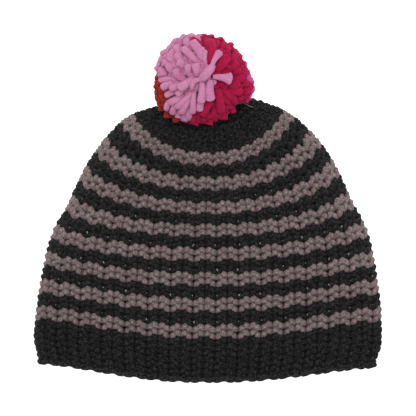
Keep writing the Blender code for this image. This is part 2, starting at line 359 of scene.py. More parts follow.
def wool_material(
    name, painted_shade, dark, pale, hairs, hair_scale, patch_scale, relief, sheen, tint=(1.0, 1.0, 1.0),
    plied=False,
):
    """Matt wool with a soft sheen: heathered colour and a relief of hairs. A plied yarn also has
    plies in its relief, as waves along the strand's own UV map."""
    made, shader = plain_material(name, pale, WOOL_ROUGHNESS)
    nodes, links = made.node_tree.nodes, made.node_tree.links
    shader.inputs["Sheen Weight"].default_value = sheen
    shader.inputs["Sheen Roughness"].default_value = SHEEN_ROUGHNESS
    shader.inputs["Sheen Tint"].default_value = (*tint, 1.0)
    shader.inputs["Specular IOR Level"].default_value = WOOL_SHINE
    place = nodes.new("ShaderNodeTexCoord")
    # Painted shade: the stored attribute mixes each point towards the darker colour.
    depth = nodes.new("ShaderNodeAttribute")
    depth.attribute_name = "painted_shade"
    heather_and_shade = nodes.new("ShaderNodeGroup")
    heather_and_shade.node_tree = WOOL_HEATHER_AND_SHADE
    heather_and_shade.inputs["Painted Shade"].default_value = (*painted_shade, 1.0)
    heather_and_shade.inputs["Dark"].default_value = (*dark, 1.0)
    heather_and_shade.inputs["Pale"].default_value = (*pale, 1.0)
    heather_and_shade.inputs["Hairs"].default_value = hairs
    heather_and_shade.inputs["Hair Scale"].default_value = hair_scale
    heather_and_shade.inputs["Patch Scale"].default_value = patch_scale
    links.new(place.outputs["Object"], heather_and_shade.inputs["Vector"])
    links.new(depth.outputs["Fac"], heather_and_shade.inputs["Depth"])
    links.new(heather_and_shade.outputs["Color"], shader.inputs["Base Color"])
    height = nodes.new("ShaderNodeMix")
    height.inputs["Factor"].default_value = RELIEF_OF_HAIRS
    links.new(heather_and_shade.outputs["Height"], height.inputs["B"])
    if plied:
        plies = nodes.new("ShaderNodeTexWave")
        plies.wave_type = "BANDS"
        plies.bands_direction = "DIAGONAL"
        plies.inputs["Scale"].default_value = 1.0
        plies.inputs["Distortion"].default_value = 1.2
        plies.inputs["Detail"].default_value = 2.0
        links.new(place.outputs["UV"], plies.inputs["Vector"])
        links.new(plies.outputs["Fac"], height.inputs["A"])
    bump = nodes.new("ShaderNodeBump")
    bump.inputs["Strength"].default_value = RELIEF_STRENGTH
    bump.inputs["Distance"].default_value = relief
    links.new(height.outputs["Result"], bump.inputs["Height"])
    links.new(bump.outputs["Normal"], shader.inputs["Normal"])
    return made


CHARCOAL = wool_material(
    "charcoal_yarn", CHARCOAL_PAINTED_SHADE, CHARCOAL_DARK, CHARCOAL_PALE, hairs=0.9, hair_scale=700.0,
    patch_scale=200.0, relief=0.6 * MM, sheen=0.015, plied=True,
)
MAUVE = wool_material(
    "mauve_yarn", MAUVE_PAINTED_SHADE, MAUVE_DARK, MAUVE_PALE, hairs=0.85, hair_scale=900.0,
    patch_scale=200.0, relief=0.6 * MM, sheen=0.05, plied=True,
)

# The knitted rounds.
# Each round is one length of yarn, drawn through the round below in loops. The two legs of each
# loop show outside as a V and its head and feet lie behind. Every other stitch sits half a row
# higher, which scallops the stripes. Two rounds of mauve alternate with two of charcoal.
LOOP_SWING = 0.36  # how far a leg leans, in stitches
LOOP_SPREAD = 0.07  # how far the legs stand apart beyond a quarter stitch
LOOP_TALL = 1.45  # a loop's height, in rows
LOOP_DEPTH = 1.6 * MM  # how far a leg stands in front of the fabric's middle, and a head behind
LOOP_POINT = 1.35  # lower is a leg that turns in sooner at its ends
HALF_DROP = 0.26  # how far alternate stitches sit above and below the row
# In the lowest round of a stripe the yarn of the low stitches is drawn long.
LONG_STITCH = 0.42  # how much taller they are, and the high ones shorter, in rows
LONG_SINK = 0.11  # how much lower they lie, in rows
LONG_UPRIGHT = 0.10  # how much less their legs lean, in stitches
LONG_SLIM = 0.07  # how much thinner they are, as a share
LEG_SWELL = 0.22  # how much thicker a leg is in front, and thinner a head behind
STITCH_SHIFT = -0.58  # where the first column begins, in stitches from the right fold
HAND_WOBBLE = 0.05  # unevenness of hand knitting, in rows
HAND_SWAY = 0.04  # along the round, in stitches
HAND_THICKNESS = 0.05  # as a share of the yarn's radius
HAND_DEPTH = 0.25 * MM
POINTS_PER_STITCH = 16
YARN_SIDES = 8
PLY_TURNS = 1.5  # in each stitch
FULL_STITCH = 8.0 * MM  # the stitch width from which a strand has its full thickness
NARROWEST = 0.2  # below this share of it, a strand thins no further
NARROWING = 0.3  # how quickly a strand thins as stitches get narrower
PAINTED_SHADE_FROM = 0.28 * MM  # depth below the surface where the painted shade in the creases begins
PAINTED_SHADE_DEPTH = 2.5 * MM
FOLD_BULGE = 1.2 * MM  # how much further the loops stand out where the cap is folded
RIM_ROW = 0.48  # no strand's middle goes lower than this


def uneven(seed, stitches, samples):
    """Smooth random values round a row, one for each stitch, blended by half cosines."""
    values = np.random.default_rng(seed).uniform(-1, 1, stitches)
    at = np.arange(stitches * samples) / samples
    first = at.astype(int)
    blend = 0.5 - 0.5 * np.cos(math.pi * (at - first))
    return values[first] * (1 - blend) + values[(first + 1) % stitches] * blend


def tube(paths, radii, ups, closed, squash=0.0):
    """Tubes round many paths of equal length: a ring across each point's direction, 1 + squash
    times as wide and 1 - squash times as high along ups.

    paths and ups are (strands, points, 3) and radii is (strands, points). ups is any direction
    that the path doesn't follow. An open tube's ends are closed by three quads, for 8 sides.
    Returns the points, the quads and how far each point stands out along ups from its path.
    """
    strands, count = paths.shape[:2]
    if closed:
        ahead = np.roll(paths, -1, axis=1) - np.roll(paths, 1, axis=1)
    else:
        ahead = np.gradient(paths, axis=1)
    ahead /= np.linalg.norm(ahead, axis=2, keepdims=True)
    side = np.cross(ahead, ups)
    side /= np.linalg.norm(side, axis=2, keepdims=True)
    top = np.cross(side, ahead)
    angle = np.arange(YARN_SIDES) * 2 * math.pi / YARN_SIDES
    squash = np.reshape(squash, (-1, 1, 1, 1))
    ring = side[:, :, None] * np.cos(angle)[:, None] * (1 + squash)
    ring = ring + top[:, :, None] * np.sin(angle)[:, None] * (1 - squash)
    ring = ring * radii[:, :, None, None]
    points = paths[:, :, None] + ring
    out = (ring * ups[:, :, None]).sum(axis=3)
    index = np.arange(strands * count * YARN_SIDES).reshape(strands, count, YARN_SIDES)
    here = index if closed else index[:, :-1]
    there = np.roll(index, -1, axis=1) if closed else index[:, 1:]
    quads = np.stack(
        [here, np.roll(here, -1, axis=2), np.roll(there, -1, axis=2), there], axis=-1
    ).reshape(-1, 4)
    if not closed:
        cap = np.array([(0, 1, 2, 3), (0, 3, 4, 7), (4, 5, 6, 7)])
        first = index[:, 0][:, cap[:, ::-1]].reshape(-1, 4)
        last = index[:, -1][:, cap].reshape(-1, 4)
        quads = np.concatenate([quads, first, last])
    return points.reshape(-1, 3), quads, out.ravel()


def set_winding_uv(piece, count, turns_per_point):
    """Gives a tube a UV map that winds: U runs along the strand and V round it."""
    mesh = piece.data
    corner = np.empty(len(mesh.loops), np.int32)
    mesh.loops.foreach_get("vertex_index", corner)
    along = ((corner // YARN_SIDES) % count).reshape(-1, 4)
    around = (corner % YARN_SIDES).reshape(-1, 4)
    wrapped = np.ptp(along, axis=1) > count // 2
    along = np.where(wrapped[:, None] & (along == 0), count, along)
    turned = np.ptp(around, axis=1) > YARN_SIDES // 2
    around = np.where(turned[:, None] & (around == 0), YARN_SIDES, around)
    uv = np.stack([along.ravel() * turns_per_point, around.ravel() / YARN_SIDES], axis=1)
    layer = mesh.uv_layers.new(name="strand")
    layer.data.foreach_set("uv", uv.astype(np.float32).ravel())


def set_painted_shade(piece, depth):
    """Stores, from 0 to 1, how much painted shade each point gets where it lies deep between the
    strands.
    """
    values = piece.data.attributes.new("painted_shade", "FLOAT", "POINT")
    values.data.foreach_set("value", np.clip(depth, 0, 1).astype(np.float32))


def knit(name, rows, finish, stitches=STITCHES, stripe=False):
    """Rounds of loops on the cap's form, one closed tube of yarn for each row.

    With s the place along the round in stitches and w = 2 pi s, the yarn lies
    s + A sin 2w - B sin w across, (1 - T cos w) / 2 up from its row, and D (1 - 2 |cos w|^p)
    out from the fabric's middle. Alternate stitches lie higher and lower, as a cosine over two
    stitches. In the lowest row of a stripe the low ones are taller (T) and the high ones
    shorter, and the low ones are also thinner, more upright (A) and lower still.
    """
    rows = np.asarray(rows, float)
    s = np.arange(stitches * POINTS_PER_STITCH) / POINTS_PER_STITCH
    w = 2 * math.pi * s
    wobble = [
        np.stack([uneven(int(row) * 7 + k, stitches, POINTS_PER_STITCH) for row in rows])
        for k in range(4)
    ]
    high = np.cos(math.pi * (s - 0.5)) if stitches % 2 == 0 else 0 * s
    long = np.zeros((len(rows), 1))
    if stripe:
        long[0] = 1.0
    tall = LOOP_TALL - LONG_STITCH * long * high
    low = long * (1 - high) / 2
    sink = LONG_SINK * low
    across = s + LOOP_SWING * np.sin(2 * w) - LOOP_SPREAD * np.sin(w) + HAND_SWAY * wobble[0]
    across -= LONG_UPRIGHT * low * np.sin(2 * w)
    up = rows[:, None] + 0.5 - tall / 2 * np.cos(w) + HALF_DROP * high - sink
    up = np.maximum(up + HAND_WOBBLE * wobble[1], RIM_ROW)
    on_grid = (across + STITCH_SHIFT) * STITCHES / stitches
    width = on_cap(stitch_width, rows[:, None] + 0.5 + 0 * on_grid, on_grid) * STITCHES / stitches
    share = np.clip(width / FULL_STITCH, NARROWEST, 1.0) ** NARROWING
    front = 1 - 2 * np.abs(np.cos(w)) ** LOOP_POINT
    radius = YARN_RADIUS * share * (1 + LEG_SWELL * front + HAND_THICKNESS * wobble[2])
    radius *= 1 - LONG_SLIM * low
    normal = on_cap(grid_normal, up, on_grid)
    normal /= np.linalg.norm(normal, axis=2, keepdims=True)
    depth = LOOP_DEPTH * share * (front - 1) - YARN_RADIUS * (1 + LEG_SWELL)
    depth = depth - HAND_DEPTH * (1 + wobble[3]) + FOLD_BULGE * (1 - normal[..., 2] ** 2)
    path = on_cap(grid, up, on_grid) + normal * depth[..., None]
    points, quads, out = tube(path, radius, normal, closed=True)
    piece = mesh_piece(name, points, quads, finish)
    set_winding_uv(piece, len(s), PLY_TURNS / POINTS_PER_STITCH)
    # Painted shade: the deeper a point lies below the tops of the strands, the darker its colour.
    below = np.repeat(depth.ravel(), YARN_SIDES) + out
    set_painted_shade(piece, (-below - PAINTED_SHADE_FROM) / PAINTED_SHADE_DEPTH)
    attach(piece, "root")
    return piece


BAND_ROWS = 7
STRIPE_ROWS = 2
STRIPE_PITCH = 4  # rows from one stripe to the next
STRIPES = 8
CROWN_NARROWS = 41  # the row from which there are half as many stitches
CROWN_END = 45
crown_start = BAND_ROWS + STRIPE_PITCH * (STRIPES - 1) + STRIPE_ROWS

band = knit("band", range(BAND_ROWS), CHARCOAL)
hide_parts("cap")
for number in range(STRIPES):
    start = BAND_ROWS + STRIPE_PITCH * number
    mauve_rows = range(start, start + STRIPE_ROWS)
    knit(f"stripe_{number + 1}", mauve_rows, MAUVE, stripe=True)
    if number < STRIPES - 1:
        ground = range(start + STRIPE_ROWS, start + STRIPE_PITCH)
        knit(f"ground_{number + 1}", ground, CHARCOAL)
knit("crown", range(crown_start, CROWN_NARROWS), CHARCOAL)
knit("crown_tip", range(CROWN_NARROWS, CROWN_END), CHARCOAL, LAYER_STITCHES)

# The cast-on edge and the slipped stitches.
# The edge is a single thick round of charcoal yarn that the first loops were drawn from, with a
# bump under each stitch. Between the stripes a speck of the mauve yarn shows in each low column,
# where it was slipped past behind the charcoal.
EDGE_ROW = 0.34  # the highest that its middle lies
EDGE_SCALLOP = 0.14  # how far its bumps hang down, in rows
EDGE_PAIRING = 0.17  # how far alternate bumps lean towards each other, in stitches
EDGE_RADIUS = 2.1 * MM
EDGE_SWELL = 0.14  # how much thicker it is at a bump
EDGE_POINTS = 12
SPECK_ROW = 2.45  # above the lower edge of a stripe
FIRST_LOW_STITCH = 1.5  # the middle of the first low stitch of a round
SPECK_SIZES = (1.0, 1.0, 1.0, 1.0, 0.65, 0.55)  # gap by gap, from the lowest stripe upwards
SPECK_SMALLEST = 0.25  # their sizes vary from this share to the whole
SPECK_LENGTH = 1.9 * MM
SPECK_RADIUS = 0.56 * MM
SPECK_SINK = 0.7 * MM
SPECK_STRAY = 0.15  # in stitches
SPECK_LEAN = 0.7  # how far they lean sideways, at most, as a slope
SPECK_AHEAD = 0.2  # how far up the column gives their direction, in rows
SPECK_STEPS = np.array([-0.5, -0.3, 0.3, 0.5])
SPECK_SWELL = np.array([0.5, 1.0, 1.0, 0.5])


def cast_on_edge():
    """A tube along the rim whose radius and height follow a cosine, one wave for each stitch."""
    s = np.arange(STITCHES * EDGE_POINTS) / EDGE_POINTS
    wave = np.cos(2 * math.pi * (s + EDGE_PAIRING * np.cos(math.pi * s)))
    on_grid = (s + STITCH_SHIFT)[None, :]
    up = (EDGE_ROW - EDGE_SCALLOP * (1 + wave) / 2)[None, :]
    radius = EDGE_RADIUS * (1 + EDGE_SWELL * wave)[None, :]
    normal = on_cap(grid_normal, up, on_grid)
    normal /= np.linalg.norm(normal, axis=2, keepdims=True)
    path = on_cap(grid, up, on_grid) - normal * radius[..., None]
    path += FOLD_BULGE * normal * (1 - normal[..., 2:] ** 2)
    points, quads, out = tube(path, radius, normal, closed=True)
    piece = mesh_piece("cast_on_edge", points, quads, CHARCOAL)
    set_winding_uv(piece, len(s), PLY_TURNS / EDGE_POINTS)
    set_painted_shade(piece, 0 * out)
    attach(piece, "root")


def specks():
    """Short tubes that lie along the columns, one for each low stitch in each gap, leaning and
    shrunk by even random shares."""
    gaps = np.arange(len(SPECK_SIZES))
    rows = np.repeat(BAND_ROWS + STRIPE_PITCH * gaps + SPECK_ROW, LAYER_STITCHES)
    low_stitches = 2 * np.arange(LAYER_STITCHES) + FIRST_LOW_STITCH
    stitches = np.tile(low_stitches + STITCH_SHIFT, len(gaps))
    luck = np.random.default_rng(5)
    stitches = stitches + luck.uniform(-SPECK_STRAY, SPECK_STRAY, len(rows))
    size = luck.uniform(SPECK_SMALLEST, 1.0, len(rows))
    size = (size * np.repeat(SPECK_SIZES, LAYER_STITCHES))[:, None]
    middle = on_cap(grid, rows, stitches)
    above = on_cap(grid, rows + SPECK_AHEAD, stitches)
    normal = on_cap(grid_normal, rows, stitches)
    normal /= np.linalg.norm(normal, axis=1, keepdims=True)
    ahead = (above - middle) / np.linalg.norm(above - middle, axis=1, keepdims=True)
    ahead = ahead + np.cross(normal, ahead) * luck.uniform(-SPECK_LEAN, SPECK_LEAN, (len(rows), 1))
    path = middle[:, None] + ahead[:, None] * (SPECK_STEPS * SPECK_LENGTH * size)[..., None]
    path -= normal[:, None] * SPECK_SINK
    radius = SPECK_RADIUS * size * SPECK_SWELL
    ups = np.repeat(normal[:, None], len(SPECK_STEPS), axis=1)
    points, quads, out = tube(path, radius, ups, closed=False)
    piece = mesh_piece("slipped_specks", points, quads, MAUVE)
    set_painted_shade(piece, 0 * out)
    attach(piece, "root")


cast_on_edge()
specks()

# The pompom.
# Several hundred short lengths of thick, felted wool, tied at their middle and fixed to the
# crown tip. They were wound in blocks of colour and cut square. The tie lies near the top, so
# that the strands fan out from it over the ball like petals.
POMPOM_LOW, POMPOM_HIGH = (np.array(corner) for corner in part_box("pompom"))
BALL_MIDDLE = (POMPOM_LOW + POMPOM_HIGH) / 2
BALL_UP = (POMPOM_HIGH[2] - POMPOM_LOW[2]) / 2
TIE = np.array([2.3, 2.3, 9.0]) * MM  # from the ball's middle
# How far the cut ends reach sideways, in mm, at angles seen from above: 0 is to the right and 90
# is away from the cap.
REACHES = np.array(
    [
        (0, 33.0), (20, 30.8), (45, 30.8), (80, 29.8), (100, 32.0), (120, 32.6), (150, 34.3),
        (180, 34.2), (200, 37.4), (215, 37.2), (230, 35.2), (250, 33.2), (270, 31.0), (290, 30.0),
        (310, 28.8), (322, 27.8), (335, 34.0), (345, 36.6), (360, 33.2),
    ]
)
# The border between rose and crimson seen from above, as y and x in shares of the ball.
ROSE_BORDER = np.array(
    [
        (-1.0, -0.34), (-0.87, -0.34), (-0.75, -0.24), (-0.57, -0.12), (-0.42, 0.04), (-0.38, 0.2),
        (-0.14, 0.24), (0.1, 0.08), (0.3, 0.12), (0.46, 0.06), (0.65, -0.08), (0.79, -0.16),
        (0.91, -0.06), (1.0, -0.02),
    ]
)
# How far from straight up rust and cerise begin, in degrees, at angles seen from above.
RUST_FROM = np.array([(60, 120), (175, 100), (183, 58), (212, 60), (245, 84)])
CERISE_FROM = np.array(
    [(0, 78), (30, 100), (90, 125), (270, 125), (300, 110), (345, 74), (360, 78)]
)
# Each wool's first colour is painted shade, which its strands take on deep in the ball.
ROSE_PAINTED_SHADE = (0.30, 0.058, 0.150)
ROSE_DARK = (0.42, 0.135, 0.262)
ROSE_PALE = (0.59, 0.255, 0.415)
CRIMSON_PAINTED_SHADE = (0.075, 0.001, 0.006)
CRIMSON_DARK = (0.250, 0.0034, 0.028)
CRIMSON_PALE = (0.445, 0.011, 0.068)
RUST_PAINTED_SHADE = (0.07, 0.004, 0.003)
RUST_DARK = (0.180, 0.0115, 0.0075)
RUST_PALE = (0.290, 0.024, 0.016)
CERISE_PAINTED_SHADE = (0.20, 0.012, 0.06)
CERISE_DARK = (0.44, 0.040, 0.15)
CERISE_PALE = (0.62, 0.100, 0.28)
STRANDS = 600
STRAND_RADIUS = 2.65 * MM
GOLDEN_ANGLE = math.pi * (3 - math.sqrt(5))
SEEN_LENGTH = 0.55  # the outer share of each strand that is made
STRAND_STEPS = np.array([0.0, 0.3, 0.6, 0.85, 0.96, 1.0])  # along what is made
STRAND_SWELL = np.array([0.80, 0.94, 1.02, 1.08, 1.08, 0.94])
UNDERLAY = 0.11  # how much shorter the strands are that lie below the ones laid over them
UNDERLAY_LEAN = 68  # those stand less far from straight up than this, in degrees
STRAND_STRAY = 0.035  # unevenness of their directions
STRAND_LENGTHS = (-0.028, 0.008)  # how much longer they are than the ball's reach, as a share
STRAND_WIDTHS = (0.82, 1.15)  # how thick they are, as a share of their radius
STRAND_SQUASH = 0.14  # how much wider or flatter than round they are, at most
SQUASH_SIDE = (0.1, 0.18, 0.28)  # the direction that their flatter sides face
STRAND_BEND = 1.3 * MM
TIE_SPREAD = 1.5 * MM  # how far from the tie they start
TABLE_GAP = 0.3 * MM  # the least room under a cut end
TRIM_STEPS = 17  # places along a strand where it may be cut back above the cap
CROWN_ROWS = np.linspace(30, 46, 161)  # where the crown's height is looked up
PAINTED_SHADE_UP_TO = 0.95  # painted shade darkens the strands below this share of the way out
PAINTED_SHADE_OVER = 0.26  # and is darkest this much further in

POMPOM_WOOLS = {}
for kind, slot, painted_shade, dark, pale, tint in (
    ("rose", "rose_wool", ROSE_PAINTED_SHADE, ROSE_DARK, ROSE_PALE, (1.0, 0.85, 0.95)),
    ("crimson", "crimson_wool", CRIMSON_PAINTED_SHADE, CRIMSON_DARK, CRIMSON_PALE, (1.0, 0.15, 0.55)),
    ("rust", "rust_wool", RUST_PAINTED_SHADE, RUST_DARK, RUST_PALE, (1.0, 0.35, 0.30)),
    ("cerise", "crimson_wool", CERISE_PAINTED_SHADE, CERISE_DARK, CERISE_PALE, (1.0, 0.55, 0.80)),
):
    POMPOM_WOOLS[kind] = wool_material(
        f"{kind}_yarn", painted_shade, dark, pale, hairs=0.35, hair_scale=700.0, patch_scale=160.0,
        relief=0.25 * MM, sheen=0.14, tint=tint,
    )
chance = np.random.default_rng(11)


def ball_reach(x, y):
    """How far the ball reaches sideways in the direction of x, y from its middle."""
    return np.interp(np.degrees(np.arctan2(y, x)) % 360, *REACHES.T) * MM


def crown_height(x, y):
    """Height of the cap's upper layer at points near the crown tip, or -1 beyond it."""
    size = {name: column_at(name, CROWN_ROWS)[None, :] for name in ROUND_COLUMNS[1:]}
    reach = np.where(x[:, None] > 0, size["right"], size["left"]) * CAP_WIDTH / 2
    across = np.abs(x[:, None]) / np.maximum(reach, 1e-6)
    side = np.where(x[:, None] > 0, size["right_side"], size["left_side"])
    dip = (1 - np.minimum(across, 1) ** DIP_SPREAD) ** size["steep"]
    along = CAP_LOW[1] + (side + (size["middle"] - side) * dip) * CAP_LENGTH
    row = (along < y[:, None]).sum(axis=1).clip(0, len(CROWN_ROWS) - 1)
    pick = np.arange(len(x)), row
    over = (1 - np.minimum(across[pick], 1) ** size["full"][0][row]) ** (1 / size["full"][0][row])
    height = size["fold"][0][row] + over * (size["top"][0][row] - size["fold"][0][row])
    beyond = (across[pick] >= 1) | (along[:, -1] < y)
    return np.where(beyond, -1.0, CAP_LOW[2] + height * CAP_HEIGHT)


def wool_at(direction):
    """The colour block of a strand end, from its direction out of the ball's middle."""
    turn = np.degrees(np.arctan2(direction[:, 1], direction[:, 0])) % 360
    lean = np.degrees(np.arccos(direction[:, 2].clip(-1, 1)))
    crimson = direction[:, 0] > np.interp(direction[:, 1], *ROSE_BORDER.T)
    rust = ~crimson & (lean > np.interp(turn, *RUST_FROM.T))
    cerise = crimson & (lean > np.interp(turn, *CERISE_FROM.T))
    return np.select((rust, cerise, crimson), ("rust", "cerise", "crimson"), "rose")


def add_strands(name, kind, paths, radii, ups, squash=0.0):
    """One piece of strands of one wool, their ends cut square, with painted shade that darkens them
    deep in the ball.
    """
    points, quads, _ = tube(paths, radii, ups, closed=False, squash=squash)
    piece = mesh_piece(name, points, quads, POMPOM_WOOLS[kind])
    rounded = np.arange(len(quads)) < len(paths) * (paths.shape[1] - 1) * YARN_SIDES
    piece.data.polygons.foreach_set("use_smooth", rounded)
    x, y, z = (points - BALL_MIDDLE).T
    outness = np.sqrt((np.hypot(x, y) / ball_reach(x, y)) ** 2 + (z / BALL_UP) ** 2)
    set_painted_shade(piece, (PAINTED_SHADE_UP_TO - outness) / PAINTED_SHADE_OVER)
    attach(piece, "root")
    return piece


def strand_ends():
    """The strands that stand straight out of the ball all round.

    Their ends are spread evenly: for strand n of N, z is 1 - (2n + 1) / N and the turn is n golden
    angles. They run straight there from the tie, bent by half a sine wave, and are cut back where
    they would go into the cap.
    """
    number = np.arange(STRANDS)
    level = 1 - 2 * (number + 0.5) / STRANDS
    circle = np.sqrt(1 - level**2)
    turn = GOLDEN_ANGLE * number
    even = np.stack([circle * np.cos(turn), circle * np.sin(turn), level], axis=1)
    even += chance.normal(0, STRAND_STRAY, even.shape)
    even /= np.linalg.norm(even, axis=1, keepdims=True)
    sideways = ball_reach(even[:, 0], even[:, 1])
    below_others = np.degrees(np.arccos(even[:, 2])) < UNDERLAY_LEAN
    reach = 1 + chance.uniform(*STRAND_LENGTHS, STRANDS) - UNDERLAY * below_others
    ball = np.stack([sideways, sideways, BALL_UP + 0 * sideways], axis=1)
    tips = BALL_MIDDLE + even * ball * reach[:, None]
    tips[:, 2] = np.maximum(tips[:, 2], STRAND_RADIUS + TABLE_GAP)
    roots = BALL_MIDDLE + TIE + chance.normal(0, TIE_SPREAD, (STRANDS, 3))
    steps = np.linspace(0, 1, TRIM_STEPS)
    along = (roots[:, None] + (tips - roots)[:, None] * steps[:, None]).reshape(-1, 3)
    free = along[:, 2] > crown_height(along[:, 0], along[:, 1]) + STRAND_RADIUS
    free = np.logical_and.accumulate(free.reshape(STRANDS, -1), axis=1)
    tips = roots + (tips - roots) * steps[free.sum(axis=1) - 1][:, None]
    starts = roots + (tips - roots) * (1 - SEEN_LENGTH)
    bend = chance.normal(0, STRAND_BEND, (STRANDS, 1, 3))
    t = STRAND_STEPS[:, None]
    paths = starts[:, None] + (tips - starts)[:, None] * t + bend * np.sin(math.pi * t)
    radii = STRAND_RADIUS * STRAND_SWELL * chance.uniform(*STRAND_WIDTHS, (STRANDS, 1))
    squash = chance.uniform(-STRAND_SQUASH, STRAND_SQUASH, STRANDS)
    heading = (tips - starts)[:, None] + 0 * paths
    ups = np.cross(np.cross(heading, SQUASH_SIDE), heading)
    ups /= np.linalg.norm(ups, axis=2, keepdims=True)
    wools = wool_at(even)
    for kind in POMPOM_WOOLS:
        mine = wools == kind
        piece = add_strands(f"ends_{kind}", kind, paths[mine], radii[mine], ups[mine], squash[mine])
        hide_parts("pompom")


strand_ends()

